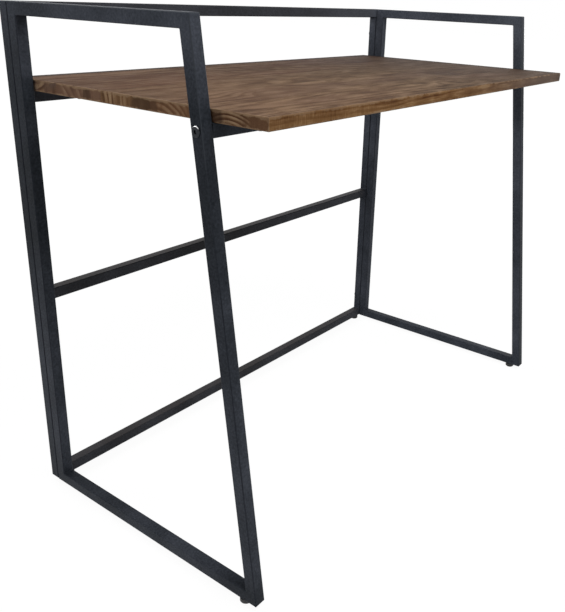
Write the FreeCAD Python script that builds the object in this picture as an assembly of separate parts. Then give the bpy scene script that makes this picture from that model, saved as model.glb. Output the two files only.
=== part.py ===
import FreeCAD, Part
import math
import os

# Writing desk: three welded frames of square tube and a glued wood top.
# Millimetres, X from left to right, Y from front to back, Z up from the floor.

Vector = FreeCAD.Vector
ACROSS = Vector(1, 0, 0)
BACKWARD = Vector(0, 1, 0)
UP = Vector(0, 0, 1)

# Desktop
desk_width = 1000.0
desk_depth = 535.0
desk_thickness = 18.0
desk_height = 754.5
guard_height = 115.0
desk_back_overhang = 12.0
desk_clearance = 2.5
board_count = 5
edge_round = 2.0

# Square tube
tube = 20.0
wall = 1.5
corner_radius = 2.0

# Frames: the lean is how far the front leg's top lies behind its foot
side_depth = 506.0
leg_lean = 114.0
mid_rail_height = 374.0
weld_radius = 3.0
ground_radius = 3.0

# Bolts
thread_diameter = 6.0
thread_clearance = 0.05
bolt_reach = 15.0
bolt_head_diameter = 15.0
bolt_head_height = 2.2
bolt_head_bevel = 0.9
bolt_socket_width = 5.0
bolt_socket_depth = 1.6
hole_clearance = 0.25
frame_bolt_inset = 60.0

# Threaded plugs in the front desk rail
plug_length = 18.0
plug_clearance = 0.1

# Rivet nuts: the flange of each nut keeps the side frame off the back frame
nut_diameter = 9.0
nut_length = 14.0
nut_clearance = 0.05
flange_diameter = 13.0
flange_thickness = 0.6

# Wood screws
screw_count = 2
screw_end_distance = 100.0
screw_diameter = 4.0
screw_bite = 12.0
screw_tip_length = 4.0
screw_head_diameter = 8.0
screw_head_height = 2.8
screw_head_bevel = 1.0
screw_cross_length = 4.6
screw_cross_width = 1.0
screw_cross_depth = 1.6
pilot_clearance = 0.05

# Levelling feet
foot_height = 9.5
foot_diameter = 20.0
foot_bevel = 2.0
foot_stem_clearance = 2.5
front_foot_setback = 30.0
rear_foot_inset = 30.0

# Places that follow from the sizes above
rail_span = desk_width + 2 * desk_clearance
frame_width = rail_span + 2 * tube
side_x = frame_width / 2 - tube / 2
frame_bottom = foot_height
frame_top = desk_height + guard_height
side_back = side_depth + flange_thickness
front_y = -(side_back + tube + desk_back_overhang) / 2
side_back_y = front_y + side_depth
back_frame_y = front_y + side_back + tube / 2
back_y = back_frame_y + tube / 2
desk_front_y = back_y + desk_back_overhang - desk_depth
desk_bottom = desk_height - desk_thickness
desk_rail_z = desk_bottom - tube / 2
lean_slope = leg_lean / (frame_top - frame_bottom)
leg_run = tube * math.hypot(1, lean_slope)
front_rail_y = front_y + lean_slope * (desk_rail_z - frame_bottom) + leg_run / 2
thread_bore = thread_diameter + 2 * thread_clearance
bolt_length = tube + bolt_reach
screw_length = tube + screw_bite
foot_stem_length = flange_thickness + tube - wall - foot_stem_clearance
frame_bolt_heights = (frame_bottom + frame_bolt_inset, frame_top - frame_bolt_inset)
sides = (("left", -side_x), ("right", side_x))


def place(shape, point, direction):
    # Move a shape so that its origin is at point and its Z axis runs along direction
    shape.Placement = FreeCAD.Placement(point, FreeCAD.Rotation(UP, direction))
    return shape


def rod(diameter, length, point, direction):
    return Part.makeCylinder(diameter / 2, length, point, direction)


def rim(solid, z):
    # Circular edges of an upright round solid at height z
    circles = [edge for edge in solid.Edges if edge.Closed]
    return [edge for edge in circles if math.isclose(edge.CenterOfMass.z, z, abs_tol=1e-6)]


def edges_along(block, direction):
    # Straight edges of a block that run in this direction
    tangents = [(edge, edge.tangentAt(edge.FirstParameter)) for edge in block.Edges]
    return [edge for edge, tangent in tangents if abs(tangent.dot(direction)) > 0.5]


def square_bar(size, length):
    # Solid bar that stands on the origin
    return Part.makeBox(size, size, length, Vector(-size / 2, -size / 2, 0))


def square_tube(length):
    # Hollow bar with rounded outer corners
    bar = square_bar(tube, length)
    rounded = bar.makeFillet(corner_radius, edges_along(bar, UP))
    return rounded.cut(square_bar(tube - 2 * wall, length))


def inner_corners(corners, normal):
    # Corners of the same outline moved in by one tube
    inner = []
    for i, corner in enumerate(corners):
        before = normal.cross(corner - corners[i - 1]).normalize()
        after = normal.cross(corners[(i + 1) % len(corners)] - corner).normalize()
        inner.append(corner + (before + after) * (tube / (1 + before.dot(after))))
    return inner


def slab(corners, normal):
    # Flat block, thicker than the tubes, with the outline of these corners
    face = Part.Face(Part.makePolygon(corners + corners[:1]))
    return face.translated(normal * -tube).extrude(normal * (2 * tube))


def mitred_tubes(corners, normal):
    # One tube along each side of the outline, mitred to the next, outer corners ground round
    inner = inner_corners(corners, normal)
    block = slab(corners, normal)
    ground_block = block.makeFillet(ground_radius, edges_along(block, normal))
    tubes = []
    for i, start in enumerate(corners):
        j = (i + 1) % len(corners)
        axis = (corners[j] - start).normalize()
        inward = normal.cross(axis)
        stock = square_tube(start.distanceToPoint(corners[j]) + 2 * tube)
        base = start + inward * (tube / 2) - axis * tube
        stock.Placement = FreeCAD.Placement(base, FreeCAD.Rotation(inward, normal, axis, "ZXY"))
        mitred = stock.common(slab([start, corners[j], inner[j], inner[i]], normal))
        tubes.append(mitred.common(ground_block))
    return tubes


def weld(corner, first, second, normal):
    # Concave fillet in the corner between two directions, as wide as the tubes' flat faces
    half_angle = first.getAngle(second) / 2
    leg = weld_radius / math.tan(half_angle)
    bisector = (first + second).normalize()
    start = corner + first * leg
    end = corner + second * leg
    middle = corner + bisector * (weld_radius / math.sin(half_angle) - weld_radius)
    outline = Part.Wire([
        Part.LineSegment(corner, start).toShape(),
        Part.Arc(start, middle, end).toShape(),
        Part.LineSegment(end, corner).toShape(),
    ])
    width = tube - 2 * corner_radius
    return Part.Face(outline).translated(normal * (-width / 2)).extrude(normal * width)


def frame_welds(corners, normal):
    inner = inner_corners(corners, normal)
    welds = []
    for i, corner in enumerate(inner):
        forward = (inner[(i + 1) % len(inner)] - corner).normalize()
        backward = (inner[i - 1] - corner).normalize()
        welds.append(weld(corner, forward, backward, normal))
    return welds


def bolt():
    # Low round head above the origin, shank below it
    head = rod(bolt_head_diameter, bolt_head_height, Vector(), UP)
    head = head.makeChamfer(bolt_head_bevel, rim(head, bolt_head_height))
    corner = Vector(bolt_socket_width / math.sqrt(3), 0, bolt_head_height)
    turns = [FreeCAD.Rotation(UP, 60 * i) for i in range(7)]
    hexagon = Part.makePolygon([turn.multVec(corner) for turn in turns])
    socket = Part.Face(hexagon).extrude(UP * -bolt_socket_depth)
    return head.cut(socket).fuse(rod(thread_diameter, bolt_length, Vector(), UP * -1))


def rivet_nut():
    # Flange above the origin, body below it
    flange = rod(flange_diameter, flange_thickness, Vector(), UP)
    body = rod(nut_diameter, nut_length, Vector(0, 0, -nut_length), UP)
    bore = rod(thread_bore, nut_length + flange_thickness, Vector(0, 0, -nut_length), UP)
    return flange.fuse(body).removeSplitter().cut(bore)


def wood_screw():
    # Pan head above the origin, shank and point below it
    head = rod(screw_head_diameter, screw_head_height, Vector(), UP)
    head = head.makeChamfer(screw_head_bevel, rim(head, screw_head_height))
    cross = ((screw_cross_length, screw_cross_width), (screw_cross_width, screw_cross_length))
    for length, width in cross:
        corner = Vector(-length / 2, -width / 2, screw_head_height - screw_cross_depth)
        head = head.cut(Part.makeBox(length, width, screw_cross_depth, corner))
    straight = screw_length - screw_tip_length
    shank = rod(screw_diameter, straight, Vector(), UP * -1)
    point = Part.makeCone(screw_diameter / 2, 0, screw_tip_length, Vector(0, 0, -straight), UP * -1)
    return head.fuse(shank).fuse(point).removeSplitter()


def pilot_hole(point):
    # Room in the wood for a screw that comes up through the rail
    depth = screw_length + pilot_clearance
    return rod(screw_diameter + 2 * pilot_clearance, depth, point, UP)


def levelling_foot():
    # Round glide on the floor with a stem that screws up into the frame
    base_height = foot_height - flange_thickness
    base = rod(foot_diameter, base_height, Vector(), UP)
    base = base.makeChamfer(foot_bevel, rim(base, 0))
    return base.fuse(rod(thread_diameter, foot_stem_length, Vector(0, 0, base_height), UP))


def screw_points(y):
    # Where the screws enter a desk rail from below
    first = desk_width / 2 - screw_end_distance
    pitch = 2 * first / (screw_count - 1)
    return [Vector(i * pitch - first, y, desk_rail_z - tube / 2) for i in range(screw_count)]


def cross_rail(y, z):
    # Straight tube from side to side between the uprights
    return place(square_tube(rail_span), Vector(-rail_span / 2, y, z), ACROSS)


def hole_through(point, direction, diameter):
    # Drill that passes right through one tube whose axis is at point
    return rod(diameter, 2 * tube, point - direction * tube, direction)


parts = {}
bolt_hole = thread_diameter + 2 * hole_clearance
nut_hole = nut_diameter + 2 * nut_clearance
screw_hole = screw_diameter + 2 * hole_clearance

# Side frames: the front leg is drilled for its bolt, the rear leg and the bottom rail for rivet nuts
foot_points = {}
for side, x in sides:
    outline = [
        Vector(x, front_y, frame_bottom),
        Vector(x, side_back_y, frame_bottom),
        Vector(x, side_back_y, frame_top),
        Vector(x, front_y + leg_lean, frame_top),
    ]
    bottom_rail, rear_leg, top_rail, front_leg = mitred_tubes(outline, ACROSS)
    foot_points["front_" + side] = Vector(x, front_y + front_foot_setback, frame_bottom)
    bottom_rail = bottom_rail.cut(rod(nut_hole, tube / 2, foot_points["front_" + side], UP))
    for height in frame_bolt_heights:
        rear_leg = rear_leg.cut(rod(nut_hole, tube / 2, Vector(x, side_back_y, height), BACKWARD * -1))
    front_leg = front_leg.cut(hole_through(Vector(x, front_rail_y, desk_rail_z), ACROSS, bolt_hole))
    parts[side + "_bottom_rail"] = bottom_rail
    parts[side + "_rear_leg"] = rear_leg
    parts[side + "_top_rail"] = top_rail
    parts[side + "_front_leg"] = front_leg
    parts[side + "_frame_welds"] = Part.makeCompound(frame_welds(outline, ACROSS))

# Back frame: the uprights are drilled for bolts, the bottom rail for rivet nuts
half_width = frame_width / 2
outline = [
    Vector(-half_width, back_frame_y, frame_bottom),
    Vector(half_width, back_frame_y, frame_bottom),
    Vector(half_width, back_frame_y, frame_top),
    Vector(-half_width, back_frame_y, frame_top),
]
bottom_rail, right_upright, top_rail, left_upright = mitred_tubes(outline, BACKWARD * -1)
uprights = {"left": left_upright, "right": right_upright}
for side, x in sides:
    foot_x = math.copysign(half_width - rear_foot_inset, x)
    foot_points["rear_" + side] = Vector(foot_x, back_frame_y, frame_bottom)
    bottom_rail = bottom_rail.cut(rod(nut_hole, tube / 2, foot_points["rear_" + side], UP))
    for height in frame_bolt_heights:
        bolt_axis = Vector(x, back_frame_y, height)
        uprights[side] = uprights[side].cut(hole_through(bolt_axis, BACKWARD, bolt_hole))
    parts["back_upright_" + side] = uprights[side]
parts["back_bottom_rail"] = bottom_rail
parts["back_top_rail"] = top_rail

# Rungs of the back frame
mid_rail_z = mid_rail_height + tube / 2
parts["back_mid_rail"] = cross_rail(back_frame_y, mid_rail_z)
back_desk_rail = cross_rail(back_frame_y, desk_rail_z)
back_welds = frame_welds(outline, BACKWARD * -1)
rung_corners = [
    (mid_rail_z + tube / 2, UP),
    (mid_rail_z - tube / 2, UP * -1),
    (desk_rail_z - tube / 2, UP * -1),
]
for z, away in rung_corners:
    for end in (-1, 1):
        corner = Vector(end * rail_span / 2, back_frame_y, z)
        back_welds.append(weld(corner, ACROSS * -end, away, BACKWARD * -1))
parts["back_frame_welds"] = Part.makeCompound(back_welds)

# Front desk rail, with a threaded plug in each end and a bolt through each front leg
front_desk_rail = cross_rail(front_rail_y, desk_rail_z)
plug_size = tube - 2 * wall - 2 * plug_clearance
plugs = []
front_bolts = []
for side, x in sides:
    outward = ACROSS * math.copysign(1, x)
    rail_end = Vector(math.copysign(rail_span / 2, x), front_rail_y, desk_rail_z)
    plug = place(square_bar(plug_size, plug_length), rail_end, outward * -1)
    plugs.append(plug.cut(rod(thread_bore, plug_length, rail_end, outward * -1)))
    front_bolts.append(place(bolt(), rail_end + outward * tube, outward))
parts["front_rail_plugs"] = Part.makeCompound(plugs)
parts["front_bolts"] = Part.makeCompound(front_bolts)

# Bolts and rivet nuts that join the side frames to the back frame
frame_bolts = []
frame_nuts = []
for side, x in sides:
    for height in frame_bolt_heights:
        frame_bolts.append(place(bolt(), Vector(x, back_y, height), BACKWARD))
        frame_nuts.append(place(rivet_nut(), Vector(x, side_back_y, height), BACKWARD))
parts["frame_bolts"] = Part.makeCompound(frame_bolts)
parts["frame_rivet_nuts"] = Part.makeCompound(frame_nuts)

# Desktop: one panel with eased edges, sawn into its boards
panel_corner = Vector(-desk_width / 2, desk_front_y, desk_bottom)
panel = Part.makeBox(desk_width, desk_depth, desk_thickness, panel_corner)
level_edges = edges_along(panel, ACROSS) + edges_along(panel, BACKWARD)
panel = panel.makeFillet(edge_round, level_edges)
desk_rails = {"front": front_desk_rail, "back": back_desk_rail}
for place_name, y in (("front", front_rail_y), ("back", back_frame_y)):
    screws = []
    for point in screw_points(y):
        rail_axis = point + UP * (tube / 2)
        desk_rails[place_name] = desk_rails[place_name].cut(hole_through(rail_axis, UP, screw_hole))
        panel = panel.cut(pilot_hole(point))
        screws.append(place(wood_screw(), point, UP * -1))
    parts[place_name + "_desk_rail"] = desk_rails[place_name]
    parts[place_name + "_desk_screws"] = Part.makeCompound(screws)
board_width = desk_depth / board_count
for i in range(board_count):
    board_corner = panel_corner + BACKWARD * (i * board_width)
    board = Part.makeBox(desk_width, board_width, desk_thickness, board_corner)
    parts["desk_board_%d" % (i + 1)] = panel.common(board)

# Levelling feet, screwed right in, with their rivet nuts
foot_nuts = []
for name, point in foot_points.items():
    foot_nuts.append(place(rivet_nut(), point, UP * -1))
    foot = levelling_foot()
    foot.translate(Vector(point.x, point.y, 0))
    parts["foot_" + name] = foot
parts["foot_rivet_nuts"] = Part.makeCompound(foot_nuts)

os.makedirs("parts", exist_ok=True)
for name, shape in parts.items():
    shape.exportStep(os.path.join("parts", name + ".step"))
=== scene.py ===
import bpy
from mathutils import Matrix, Vector


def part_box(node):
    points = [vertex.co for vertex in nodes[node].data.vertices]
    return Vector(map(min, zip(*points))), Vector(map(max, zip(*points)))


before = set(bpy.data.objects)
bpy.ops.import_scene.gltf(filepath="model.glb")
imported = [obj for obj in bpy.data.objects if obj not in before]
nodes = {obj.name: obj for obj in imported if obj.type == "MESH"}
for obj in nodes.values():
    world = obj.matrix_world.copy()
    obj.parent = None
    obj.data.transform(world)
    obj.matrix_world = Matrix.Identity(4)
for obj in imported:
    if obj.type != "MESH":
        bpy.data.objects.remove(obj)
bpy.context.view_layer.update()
scene = bpy.context.scene

boards = sorted(name for name in nodes if name.startswith("desk_board_"))
panel_low = Vector(map(min, *(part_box(name)[0] for name in boards)))
panel_high = Vector(map(max, *(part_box(name)[1] for name in boards)))


class Graph:
    # Shader node helpers: a value may be a number, a tuple or another node's output

    def __init__(self, tree):
        self.tree = tree
        self.tree.nodes.clear()

    def node(self, kind, values=None, **settings):
        made = self.tree.nodes.new(kind)
        for name, value in settings.items():
            setattr(made, name, value)
        for name, value in (values or {}).items():
            self.put(made.inputs[name], value)
        return made

    def put(self, socket, value):
        if isinstance(value, bpy.types.NodeSocket):
            self.tree.links.new(value, socket)
        else:
            socket.default_value = value

    def place(self):
        # Where a point lies in the frame, in metres
        return self.node("ShaderNodeTexCoord").outputs["Object"]

    def normal(self, kind):
        return self.node("ShaderNodeNewGeometry").outputs[kind]

    def math(self, operation, *values):
        made = self.node("ShaderNodeMath", operation=operation)
        for socket, value in zip(made.inputs, values):
            self.put(socket, value)
        return made.outputs[0]

    def plus(self, first, second):
        return self.math("ADD", first, second)

    def minus(self, first, second):
        return self.math("SUBTRACT", first, second)

    def times(self, first, second):
        return self.math("MULTIPLY", first, second)

    def times_plus(self, first, second, third):
        return self.math("MULTIPLY_ADD", first, second, third)

    def absolute(self, value):
        return self.math("ABSOLUTE", value)

    def least(self, first, second):
        return self.math("MINIMUM", first, second)

    def most(self, first, second):
        return self.math("MAXIMUM", first, second)

    def squares(self, first, second):
        return self.plus(self.math("POWER", first, 2.0), self.math("POWER", second, 2.0))

    def oval(self, x, y, middle_x, middle_y, half_length, half_width):
        # Squared distance from the middle of an oval, 1 on its rim
        off_x = self.math("DIVIDE", self.minus(x, middle_x), half_length)
        off_y = self.math("DIVIDE", self.minus(y, middle_y), half_width)
        return self.squares(off_x, off_y)

    def vector(self, operation, *values):
        made = self.node("ShaderNodeVectorMath", operation=operation)
        for socket, value in zip(made.inputs, values):
            self.put(socket, value)
        return made.outputs[0]

    def split(self, vector):
        return self.node("ShaderNodeSeparateXYZ", {0: vector}).outputs

    def join(self, x, y, z):
        return self.node("ShaderNodeCombineXYZ", {0: x, 1: y, 2: z}).outputs[0]

    def noise(self, vector, scale, detail, roughness, colour=False):
        values = {"Vector": vector, "Scale": scale, "Detail": detail, "Roughness": roughness}
        made = self.node("ShaderNodeTexNoise", values)
        return made.outputs["Color" if colour else "Fac"]

    def streaks(self, vector, scales, detail, roughness, colour=False):
        # Noise with a scale of its own along each axis
        return self.noise(self.vector("MULTIPLY", vector, scales), 1.0, detail, roughness, colour)

    def swing(self, noise, amount, base):
        # The base, moved up and down by a noise about its middle value
        return self.times_plus(self.minus(noise, 0.5), amount, base)

    def fade(self, value, span, low=0.0, high=1.0):
        # From low to high, smoothly, where the value goes from one end of the span to the other
        start, end = span
        values = {
            "Value": value, "From Min": start, "From Max": end, "To Min": low, "To Max": high,
        }
        made = self.node("ShaderNodeMapRange", values, interpolation_type="SMOOTHSTEP")
        return made.outputs[0]

    def band(self, value, rise, fall):
        # 1 between two spans, 0 outside them
        return self.times(self.fade(value, rise), self.fade(value, fall))

    def ramp(self, value, stops):
        made = self.node("ShaderNodeValToRGB", {0: value})
        bar = made.color_ramp
        while len(bar.elements) < len(stops):
            bar.elements.new(0.5)
        for element, (place, colour) in zip(bar.elements, stops):
            element.position = place
            element.color = colour
        return made.outputs[0]

    def mix(self, share, first, second):
        # The colour sockets of this node come after those for numbers and vectors
        values = {0: share, 6: first, 7: second}
        return self.node("ShaderNodeMix", values, data_type="RGBA").outputs[2]

    def bump(self, height, strength, distance):
        values = {"Strength": strength, "Distance": distance, "Height": height}
        return self.node("ShaderNodeBump", values).outputs[0]

    def surface(self, shader):
        self.node("ShaderNodeOutputMaterial", {"Surface": shader})

    def principled(self, values):
        self.surface(self.node("ShaderNodeBsdfPrincipled", values).outputs[0])


def rgb(red, green, blue):
    # Linear colour of an sRGB value from 0 to 255
    def linear(value):
        value /= 255
        return value / 12.92 if value <= 0.04045 else ((value + 0.055) / 1.055) ** 2.4
    return (linear(red), linear(green), linear(blue), 1.0)


def grey(level):
    return (level, level, level, 1.0)


def new_material(name):
    material = bpy.data.materials.new(name)
    material.use_nodes = True
    return material, Graph(material.node_tree)


# Materials. In these functions a named pair of numbers is the span of a fade. Where the name ends
# in _x, _y or _z, it is a span along that axis in metres.

def coat_painted_light(g, tone, place, facing_y):
    # Painted light on the coat by place: paler up to the guard rails and towards the right
    guard_z = 0.78, 0.855
    rightwards_x = 0.0, 0.5
    x, y, z = g.split(place)
    tone = g.plus(tone, g.fade(z, guard_z, 0.0, 0.10))
    tone = g.plus(tone, g.fade(x, rightwards_x, 0.0, 0.08))

    # Left side frame: painted light from the floor low down, but not on its bottom rail
    left_x = -0.44, -0.50
    low_z = 0.45, 0.20
    bottom_rail_z = 0.025, 0.05
    left = g.fade(x, left_x)
    low = g.times(g.fade(z, low_z, 0.0, 0.07), g.fade(z, bottom_rail_z))

    # Left side frame: painted shade of the desktop below it, more so behind, and close under it in
    # front
    leg_z, leg_top_z = (0.25, 0.55), (0.78, 0.74)
    backwards_y = -0.10, 0.22
    near_z, near_top_z = (0.58, 0.70), (0.775, 0.745)
    front_y = 0.0, -0.10
    under_shade = g.times(g.band(z, leg_z, leg_top_z), g.fade(y, backwards_y, 0.03, 0.09))
    near = g.band(z, near_z, near_top_z)
    under_shade = g.times_plus(near, g.fade(y, front_y, 0.0, 0.06), under_shade)
    tone = g.times_plus(left, g.minus(low, under_shade), tone)

    # What faces the front, painted light and shade: paler above the desktop on the left, on the
    # right darker on the front leg and paler on the rear leg
    turned_to_front = -0.5, -0.9
    above_z, above_top_z = (0.752, 0.765), (0.85, 0.80)
    leg_to_leg_y = -0.10, 0.20
    right_x = 0.44, 0.50
    facing = g.fade(facing_y, turned_to_front)
    above = g.times(g.band(z, above_z, above_top_z), g.fade(y, leg_to_leg_y, 0.04, 0.17))
    beside = g.times(g.fade(x, right_x), g.fade(y, leg_to_leg_y, -0.19, 0.10))
    tone = g.times_plus(facing, g.times_plus(left, above, beside), tone)

    # Right front leg: a little painted light all round, down to the bottom rail
    right_leg_x = 0.40, 0.50
    right_leg_y = 0.10, -0.05
    right_leg_z = 0.03, 0.10
    front = g.times(g.fade(x, right_leg_x), g.fade(y, right_leg_y, 0.0, 0.07))
    return g.times_plus(front, g.fade(z, right_leg_z), tone)


def powder_coat():
    # Dark satin coating with fine orange peel and a cloudy, speckled tone
    material, g = new_material("powder_coated_steel")
    place = g.place()
    x, y, z = g.split(place)
    facing = g.split(g.normal("Normal"))
    cloud = g.noise(place, scale=9.0, detail=4.0, roughness=0.55)
    speck = g.noise(place, scale=270.0, detail=2.0, roughness=0.6)
    peel = g.noise(place, scale=650.0, detail=2.0, roughness=0.5)
    tone = g.times_plus(cloud, 0.6, g.times(speck, 0.4))
    colour = g.ramp(coat_painted_light(g, tone, place, facing[1]), [
        (0.32, rgb(35, 39, 44)), (0.50, rgb(55, 59, 66)),
        (0.68, rgb(75, 79, 88)), (0.84, rgb(93, 98, 108)),
    ])

    # The rails of the back frame: dust and a painted top light, paler most of all on top
    back_y = 0.15, 0.22
    inside_x = 0.505, 0.485
    turned_up = 0.5, 0.9
    behind = g.times(g.fade(y, back_y), g.fade(g.absolute(x), inside_x))
    dust_and_top_light = g.times(behind, g.fade(facing[2], turned_up, 0.14, 0.36))
    colour = g.mix(dust_and_top_light, colour, rgb(92, 84, 78))

    # The tubes' rounded corners, in patches: a painted dark shade line, and a painted pale
    # highlight high up in front
    rounding = 0.98, 0.85
    off_floor_z = 0.030, 0.045
    highlight_z, highlight_y = (0.50, 0.75), (0.22, -0.10)
    patchy = 0.40, 0.62
    face_x, face_y, face_z = (g.absolute(part) for part in facing)
    flatness = g.most(g.most(face_x, face_y), face_z)
    corner = g.times(g.fade(flatness, rounding), g.fade(z, off_floor_z))
    highlight_place = g.times(g.fade(z, highlight_z), g.fade(y, highlight_y))
    corner_light_and_shade = g.times(corner, g.fade(cloud, patchy, 0.4, 0.9))
    colour = g.mix(corner_light_and_shade, colour, g.mix(highlight_place, rgb(38, 41, 47), rgb(66, 70, 76)))

    rough = g.times_plus(cloud, 0.16, g.times(peel, 0.08))
    g.principled({
        "Base Color": colour,
        "Roughness": g.plus(rough, 0.28),
        "Specular IOR Level": 0.03,
        "Normal": g.bump(peel, strength=0.25, distance=0.0002),
    })
    return material


def fastener_steel():
    # Blackened steel, with a painted glint on the corners that face upwards
    material, g = new_material("blackened_steel")
    place = g.place()
    grime = g.noise(place, scale=260.0, detail=3.0, roughness=0.6)
    fine = g.noise(place, scale=1800.0, detail=2.0, roughness=0.5)
    colour = g.ramp(grime, [(0.3, rgb(34, 36, 39)), (0.7, rgb(58, 60, 63))])
    turned_up = 0.30, 0.55
    turned_sideways = 0.4, 0.6
    patchy = 0.30, 0.50
    facing = g.split(g.normal("True Normal"))
    sideways = g.fade(g.absolute(facing[0]), turned_sideways)
    slant = g.times(g.fade(facing[2], turned_up), sideways)
    rubbed_and_glint = g.times(slant, g.fade(grime, patchy, 0.4, 1.0))
    g.principled({
        "Base Color": g.mix(rubbed_and_glint, colour, rgb(214, 214, 214)),
        "Metallic": 1.0,
        "Roughness": g.fade(grime, (0.3, 0.7), 0.2, 0.38),
        "Normal": g.bump(fine, strength=0.15, distance=0.0001),
    })
    return material


def foot_plastic(pad_top):
    # Moulded black plastic with a matt grain and scuffs, below a plated steel stem
    material, g = new_material("moulded_plastic")
    place = g.place()
    moulding = g.noise(place, scale=1400.0, detail=2.0, roughness=0.5)
    scuff = g.noise(place, scale=160.0, detail=4.0, roughness=0.7)
    black = g.ramp(scuff, [(0.35, rgb(20, 20, 22)), (0.75, rgb(46, 46, 48))])
    plated = g.ramp(scuff, [(0.35, rgb(96, 97, 99)), (0.75, rgb(136, 137, 139))])
    stem = g.math("GREATER_THAN", g.split(place)[2], pad_top)
    g.principled({
        "Base Color": g.mix(stem, black, plated),
        "Roughness": g.fade(scuff, (0.3, 0.7), 0.45, 0.68),
        "Specular IOR Level": 0.4,
        "Normal": g.bump(moulding, strength=0.3, distance=0.0001),
    })
    return material


# Stained wood of the desktop. One set of growth rings serves a board's top, edges and ends.

def growth_rings(g, bent, seed, pith, drift, pitch, islands):
    # Rings of uneven width about a pith line, pushed out into closed ovals round each island
    island_length, island_width = 0.075, 0.026
    unevenness = 2.2
    early, late = (0.0, 0.6), (1.0, 0.78)
    x, y, z = g.split(bent)
    off_y = g.minus(y, g.times_plus(x, drift[0], pith[0]))
    off_z = g.minus(z, g.times_plus(x, drift[1], pith[1]))
    radius = g.math("SQRT", g.squares(off_y, off_z))
    for island_x, island_y, height in islands:
        away = g.oval(x, y, island_x, island_y, island_length, island_width)
        radius = g.times_plus(g.math("EXPONENT", g.times(away, -1.0)), height, radius)
    years = g.noise(g.join(radius, seed, 0.0), scale=45.0, detail=2.0, roughness=0.5)
    radius = g.swing(years, unevenness * pitch, radius)
    return g.band(g.math("FRACT", g.math("DIVIDE", radius, pitch)), early, late)


def board_top(g, place, bent, tone, mottle, cloud, smudges, tint):
    # Colour of the top, with more contrast on the left
    left_end_x = -0.46, -0.28
    rightwards_x = -0.25, 0.25
    clouded = 0.42, 0.66
    x, y, _ = g.split(place)
    contrast = g.fade(x, left_end_x, 1.6, 1.0)
    contrast = g.times(contrast, g.fade(x, rightwards_x, 1.15, 0.55))
    colour = g.ramp(g.swing(tone, contrast, 0.5), [
        (0.34, rgb(44, 30, 21)), (0.44, rgb(77, 58, 41)),
        (0.53, rgb(95, 73, 52)), (0.66, rgb(132, 106, 79)),
    ])
    colour = g.mix(g.fade(cloud, clouded, 0.0, 0.5), colour, tint)

    # Dark smudges with a soft and ragged rim
    smudge_rim = 0.6, -0.6
    raggedness = 1.6
    bent_x, bent_y, _ = g.split(bent)
    for smudge_x, smudge_y, half_length, half_width in smudges:
        away = g.oval(bent_x, bent_y, smudge_x, smudge_y, half_length, half_width)
        away = g.times_plus(mottle, -raggedness, away)
        colour = g.mix(g.fade(away, smudge_rim, 0.0, 0.55), colour, rgb(58, 39, 29))

    # Painted shade at the back, most of all on the left, then warmer to the left, and greyer to
    # the right as a painted sheen
    back_y = -0.10, 0.20
    back_left_x = 0.5, -0.4
    warm_x = 0.10, -0.50
    sheen_x = -0.05, 0.45
    behind = g.times(g.fade(y, back_y, 0.03, 0.38), g.fade(x, back_left_x, 0.55, 1.3))
    colour = g.mix(behind, colour, rgb(60, 36, 24))
    colour = g.mix(g.fade(x, warm_x, 0.0, 0.30), colour, rgb(118, 81, 54))
    return g.mix(g.fade(x, sheen_x, 0.0, 0.45), colour, rgb(64, 56, 56))


def board_edge(g, place, local, shifted, tone):
    # Colour of the front and back edge: sawn rough on the left, streaked and, as a painted sheen,
    # greyer to the right
    sawn_x = -0.40, -0.10
    streaked_x = -0.40, -0.05
    sheen_x = -0.05, 0.45
    lower_half_z = 0.003, -0.006
    x = g.split(place)[0]
    saw = g.streaks(shifted, (430.0, 60.0, 60.0), detail=2.0, roughness=0.6)
    sawn = g.times_plus(g.minus(saw, tone), g.fade(x, sawn_x, 0.34, 0.04), tone)
    streak = g.streaks(shifted, (7.0, 60.0, 210.0), detail=3.0, roughness=0.6)
    sawn = g.swing(streak, g.fade(x, streaked_x, 0.05, 0.45), sawn)
    colour = g.ramp(sawn, [
        (0.32, rgb(80, 50, 29)), (0.44, rgb(109, 75, 44)),
        (0.54, rgb(126, 91, 57)), (0.68, rgb(160, 126, 88)),
    ])
    lower = g.fade(g.split(local)[2], lower_half_z, 0.0, 0.12)
    colour = g.mix(lower, colour, rgb(148, 114, 70))
    return g.mix(g.fade(x, sheen_x, 0.0, 0.80), colour, rgb(104, 91, 84))


def board_end(g, local, shifted, ring, cloud, tint, rings, stains_and_shadow):
    # Colour of the end grain: rings in one part, stains and a painted shadow in others, open pores
    # all over
    sideways_wander = 0.03
    full_share = 0.6
    clouded = 0.36, 0.60
    pore = g.streaks(shifted, (60.0, 620.0, 620.0), detail=2.0, roughness=0.6)
    patch = g.streaks(shifted, (10.0, 52.0, 20.0), detail=3.0, roughness=0.55)
    across = g.swing(patch, sideways_wander, g.split(local)[1])

    def within(middle, half_width, strength):
        away = g.absolute(g.minus(across, middle))
        return g.fade(away, (half_width, half_width * full_share), 0.0, strength)

    ends = g.times_plus(patch, 0.72, g.times(pore, 0.28))
    ends = g.times_plus(g.minus(ring, 0.38), within(*rings), ends)
    colour = g.ramp(ends, [
        (0.30, rgb(66, 46, 32)), (0.44, rgb(107, 77, 55)),
        (0.56, rgb(131, 99, 72)), (0.80, rgb(192, 160, 126)),
    ])
    colour = g.mix(g.fade(cloud, clouded, 0.1, 0.7), colour, tint)
    for dark_patch in stains_and_shadow:
        colour = g.mix(within(*dark_patch), colour, rgb(57, 40, 31))
    return colour


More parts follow.
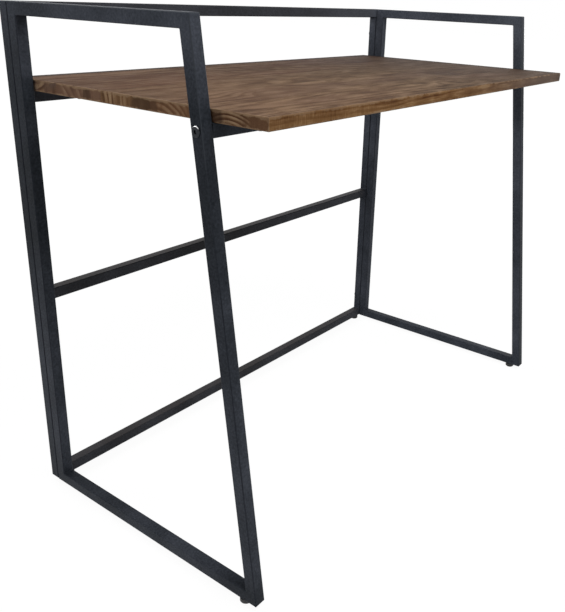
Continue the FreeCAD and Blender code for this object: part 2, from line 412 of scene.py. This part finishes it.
def panel_wear(g, colour, place, cloud, side):
    # Distance to the panel's nearest corner line: the second least of those to its faces
    x, y, z = g.split(place)
    far_x = g.minus(panel_high.x, g.absolute(x))
    far_y = g.least(g.minus(y, panel_low.y), g.minus(panel_high.y, y))
    far_z = g.least(g.minus(z, panel_low.z), g.minus(panel_high.z, z))
    second = g.most(g.least(far_x, far_y), g.least(g.most(far_x, far_y), far_z))

    # Pale rubbed line along the corners, wider on the upper ones to the left
    line_width = 0.0026, 0.0006
    line_raggedness = 0.012
    upper_z = 0.744, 0.752
    leftwards_x = 0.0, -0.4
    wider_by = 0.0014
    patchy = 0.35, 0.60
    ragged = g.noise(place, scale=70.0, detail=3.0, roughness=0.6)
    uneven = g.swing(ragged, line_raggedness, second)
    upper = g.times(g.fade(z, upper_z), g.fade(x, leftwards_x, 0.0, wider_by))
    rubbed_and_glint = g.fade(g.minus(uneven, upper), line_width)
    rubbed_and_glint = g.times(rubbed_and_glint, g.fade(cloud, patchy, 0.25, 0.75))
    colour = g.mix(rubbed_and_glint, colour, rgb(158, 130, 102))

    # Darker band along the right end and the back, weaker on the edges
    dark_width = 0.028, 0.010
    dark_raggedness = 0.020
    top_to_edge = 0.0, 1.0
    far_dark = g.least(g.minus(panel_high.x, x), g.minus(panel_high.y, y))
    far_dark = g.fade(g.swing(ragged, dark_raggedness, far_dark), dark_width)
    darkened = g.times(far_dark, g.fade(side, top_to_edge, 0.85, 0.30))
    return g.mix(darkened, colour, rgb(44, 33, 30))


def wood(name, node, seed, pith, drift, pitch, islands, smudges,
         tint, end_tint, end_rings, end_stains_and_shadow):
    # A board's own coordinates, and the same moved by its seed, so that no two boards are alike
    material, g = new_material(name)
    low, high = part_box(node)
    centre = (low + high) / 2
    place = g.place()
    local = g.vector("SUBTRACT", place, (0.0, centre.y, centre.z))
    shifted = g.vector("ADD", local, (seed * 3.1, seed * 1.7, seed * 0.9))

    # Wavy grain: both wander sideways along the board's length
    wave_reach = 0.0, 0.040, 0.016
    wave = g.streaks(shifted, (3.2, 9.0, 9.0), detail=2.0, roughness=0.5, colour=True)
    wave = g.vector("SUBTRACT", wave, (0.5, 0.5, 0.5))
    wave = g.vector("MULTIPLY", wave, wave_reach)
    bent = g.vector("ADD", local, wave)
    waved = g.vector("ADD", shifted, wave)
    ring = growth_rings(g, bent, seed, pith, drift, pitch, islands)

    # Broad stain, mottles, short grain dashes and fibres, each finer than the one before
    cloud = g.streaks(shifted, (4.0, 11.0, 11.0), detail=3.0, roughness=0.55)
    mottle = g.streaks(waved, (17.0, 40.0, 40.0), detail=2.0, roughness=0.5)
    dash = g.streaks(waved, (50.0, 420.0, 420.0), detail=1.0, roughness=0.5)
    fibre = g.streaks(waved, (90.0, 2200.0, 2200.0), detail=2.0, roughness=0.5)
    tone = g.times_plus(mottle, 0.56, g.times(dash, 0.22))
    tone = g.times_plus(fibre, 0.22, tone)
    tone = g.times_plus(g.minus(ring, 0.42), 0.12, tone)

    # Which way the surface faces: out at an end, out at the front or back, or up
    turned_to_end = 0.5, 0.9
    turned_to_side = 0.4, 0.9
    facing = g.split(g.normal("True Normal"))
    end = g.fade(g.absolute(facing[0]), turned_to_end)
    side = g.fade(g.absolute(facing[1]), turned_to_side)
    top_colour = board_top(g, place, bent, tone, mottle, cloud, smudges, tint)
    edge_colour = board_edge(g, place, local, shifted, tone)
    end_colour = board_end(g, local, shifted, ring, cloud, end_tint, end_rings, end_stains_and_shadow)
    colour = g.mix(end, g.mix(side, top_colour, edge_colour), end_colour)

    relief = g.times_plus(ring, 0.3, g.times(dash, 0.7))
    relief = g.times_plus(fibre, 0.5, relief)
    g.principled({
        "Base Color": panel_wear(g, colour, place, cloud, side),
        "Roughness": g.fade(tone, (0.3, 0.75), 0.72, 0.58),
        "Specular IOR Level": 0.06,
        "Normal": g.bump(relief, strength=0.5, distance=0.0006),
    })
    return material


# The boards from front to back, each in metres from its middle:
# - the pith (y, z), its drift (y, z) per metre to the right, and the pitch of the rings
# - islands in the rings (x, y, height)
# - dark smudges on the top (x, y, half length, half width)
# - where the rings show on the ends, and stains there, one a painted shadow (y, half width,
#   strength)
grain = [
    dict(
        seed=1.0, pith=(0.022, -0.085), drift=(0.010, 0.020), pitch=0.0065,
        islands=[(0.12, 0.01, 0.02)],
        smudges=[],
        tint=rgb(112, 86, 69), end_tint=rgb(94, 66, 48),
        end_rings=(0.010, 0.036, 0.42),
        # The first end stain is a painted shadow: the shade of the left front leg beside the end
        end_stains_and_shadow=[(0.038, 0.017, 0.7)],
    ),
    dict(
        seed=2.0, pith=(0.035, -0.045), drift=(-0.020, 0.020), pitch=0.0085,
        islands=[(-0.30, 0.005, 0.03), (0.33, -0.02, 0.02)],
        smudges=[(0.23, -0.010, 0.050, 0.040), (0.34, 0.015, 0.035, 0.016)],
        tint=rgb(98, 75, 60), end_tint=rgb(126, 91, 66),
        end_rings=(0.012, 0.036, 0.36),
        end_stains_and_shadow=[(-0.052, 0.008, 0.7), (0.050, 0.014, 0.5)],
    ),
    dict(
        seed=3.0, pith=(-0.170, 0.004), drift=(0.030, -0.010), pitch=0.0110,
        islands=[(0.02, 0.01, 0.03)],
        smudges=[],
        tint=rgb(96, 76, 57), end_tint=rgb(130, 98, 68),
        end_rings=(0.018, 0.038, 0.36),
        end_stains_and_shadow=[(-0.043, 0.030, 0.65)],
    ),
    dict(
        seed=4.0, pith=(0.110, -0.060), drift=(0.015, -0.030), pitch=0.0160,
        islands=[(-0.12, 0.0, 0.02)],
        smudges=[
            (0.30, 0.035, 0.100, 0.016),
            (-0.06, 0.040, 0.050, 0.012),
            (-0.36, 0.045, 0.060, 0.020),
        ],
        tint=rgb(96, 68, 54), end_tint=rgb(122, 94, 78),
        end_rings=(0.010, 0.040, 0.30),
        end_stains_and_shadow=[(-0.021, 0.011, 0.55)],
    ),
    dict(
        seed=5.0, pith=(0.020, 0.085), drift=(-0.010, 0.020), pitch=0.0120,
        islands=[(0.28, 0.0, 0.03)],
        smudges=[(-0.36, -0.045, 0.060, 0.020)],
        tint=rgb(88, 58, 46), end_tint=rgb(104, 93, 92),
        end_rings=(0.0, 0.030, 0.30),
        end_stains_and_shadow=[],
    ),
]


# Materials onto the pieces

def dress(names, material):
    for name in names:
        nodes[name].data.materials.clear()
        nodes[name].data.materials.append(material)


foot_pad_top = 0.0090
fasteners = [
    "front_bolts", "frame_bolts", "frame_rivet_nuts", "front_rail_plugs",
    "front_desk_screws", "back_desk_screws", "foot_rivet_nuts",
]
feet = [name for name in nodes if name.startswith("foot_") and name not in fasteners]
coated = [name for name in nodes if name not in boards + fasteners + feet]
for name, values in zip(boards, grain):
    dress([name], wood("stained_" + name, name, **values))
dress(fasteners, fastener_steel())
dress(feet, foot_plastic(foot_pad_top))
dress(coated, powder_coat())


# Stage: pale floor that keeps a faint shadow, white all round

def white_for_camera(g):
    path = g.node("ShaderNodeLightPath").outputs
    seen = g.most(path["Is Camera Ray"], path["Is Glossy Ray"])
    return g.most(seen, path["Is Transmission Ray"])


def pale_floor():
    # The camera sees a white glow, a little weaker near the desk, and shadows on a dark matt base.
    # All other light meets a pale matt floor.
    bounce, shade = grey(0.86), grey(0.10)
    away_from_desk = 0.7, 2.4
    material, g = new_material("pale_floor")
    seen = white_for_camera(g)
    reach = g.vector("LENGTH", g.place()).node.outputs["Value"]
    level = g.times(seen, g.fade(reach, away_from_desk, 0.95, 1.0))
    matt = g.node("ShaderNodeBsdfDiffuse", {"Color": g.mix(seen, bounce, shade)})
    glow = g.node("ShaderNodeEmission", {"Color": grey(1.0), "Strength": level})
    g.surface(g.node("ShaderNodeAddShader", {0: matt.outputs[0], 1: glow.outputs[0]}).outputs[0])
    return material


def studio():
    # White for the camera, and a weaker light on the desk from all sides
    sky_light = 0.20
    world = bpy.data.worlds.new("studio")
    world.use_nodes = True
    g = Graph(world.node_tree)
    level = g.times_plus(white_for_camera(g), 1.0 - sky_light, sky_light)
    sky = g.node("ShaderNodeBackground", {"Color": grey(1.0), "Strength": level})
    g.node("ShaderNodeOutputWorld", {"Surface": sky.outputs[0]})
    return world


floor_half = 20.0
floor_gap = 0.0005
floor_corners = [
    (-floor_half, -floor_half, 0), (floor_half, -floor_half, 0),
    (floor_half, floor_half, 0), (-floor_half, floor_half, 0),
]
floor_mesh = bpy.data.meshes.new("floor")
floor_mesh.from_pydata(floor_corners, [], [(0, 1, 2, 3)])
floor_mesh.materials.append(pale_floor())
floor = bpy.data.objects.new("floor", floor_mesh)
floor.location.z = -floor_gap
scene.collection.objects.link(floor)
scene.world = studio()


# Lamps: soft boxes that all point at the desk

lit = Vector((0.0, 0.0, 0.6))


def softbox(name, place, size, energy):
    lamp = bpy.data.lights.new(name, "AREA")
    lamp.shape = "SQUARE"
    lamp.size = size
    lamp.energy = energy
    box = bpy.data.objects.new(name, lamp)
    box.location = place
    box.rotation_euler = (lit - Vector(place)).to_track_quat("-Z", "Y").to_euler()
    scene.collection.objects.link(box)


softbox("front_left", (-0.5, -1.3, 2.2), size=1.2, energy=9.0)
softbox("front_right", (0.2, -1.3, 2.2), size=1.2, energy=13.0)
softbox("back", (-0.5, 1.4, 2.2), size=1.2, energy=18.0)
softbox("left", (-12.0, -1.0, 1.8), size=6.0, energy=255.0)
softbox("right", (4.5, 0.6, 0.5), size=0.9, energy=45.0)


# Camera at the photograph's viewpoint. The picture is a crop, so its optical centre isn't in
# the middle and the lens is shifted. The first five values are in pixels of the picture.

photo_width, photo_height = 565, 612
focal_length = 725.1
optical_centre_x, optical_centre_y = 329.0, 271.5
sensor = 36.0  # spans the picture's longer side, its height
eye_place = Vector((-1.1690, -0.8428, 0.8916))
ahead = Vector((0.7610, 0.5447, -0.3525)).normalized()
right = Vector((0.5935, -0.8039, 0.0390))
right = (right - ahead * right.dot(ahead)).normalized()
up = right.cross(ahead)

camera = bpy.data.cameras.new("camera")
camera.sensor_fit = "AUTO"
camera.sensor_width = sensor
camera.lens = focal_length / photo_height * sensor
camera.shift_x = -(optical_centre_x - photo_width / 2) / photo_height
camera.shift_y = (optical_centre_y - photo_height / 2) / photo_height
camera.clip_start = 0.05
camera.clip_end = 100.0
eye = bpy.data.objects.new("camera", camera)
turned = Matrix((right, up, -ahead)).transposed().to_4x4()
eye.matrix_world = Matrix.Translation(eye_place) @ turned
scene.collection.objects.link(eye)
scene.camera = eye
scene.view_settings.view_transform = "Standard"
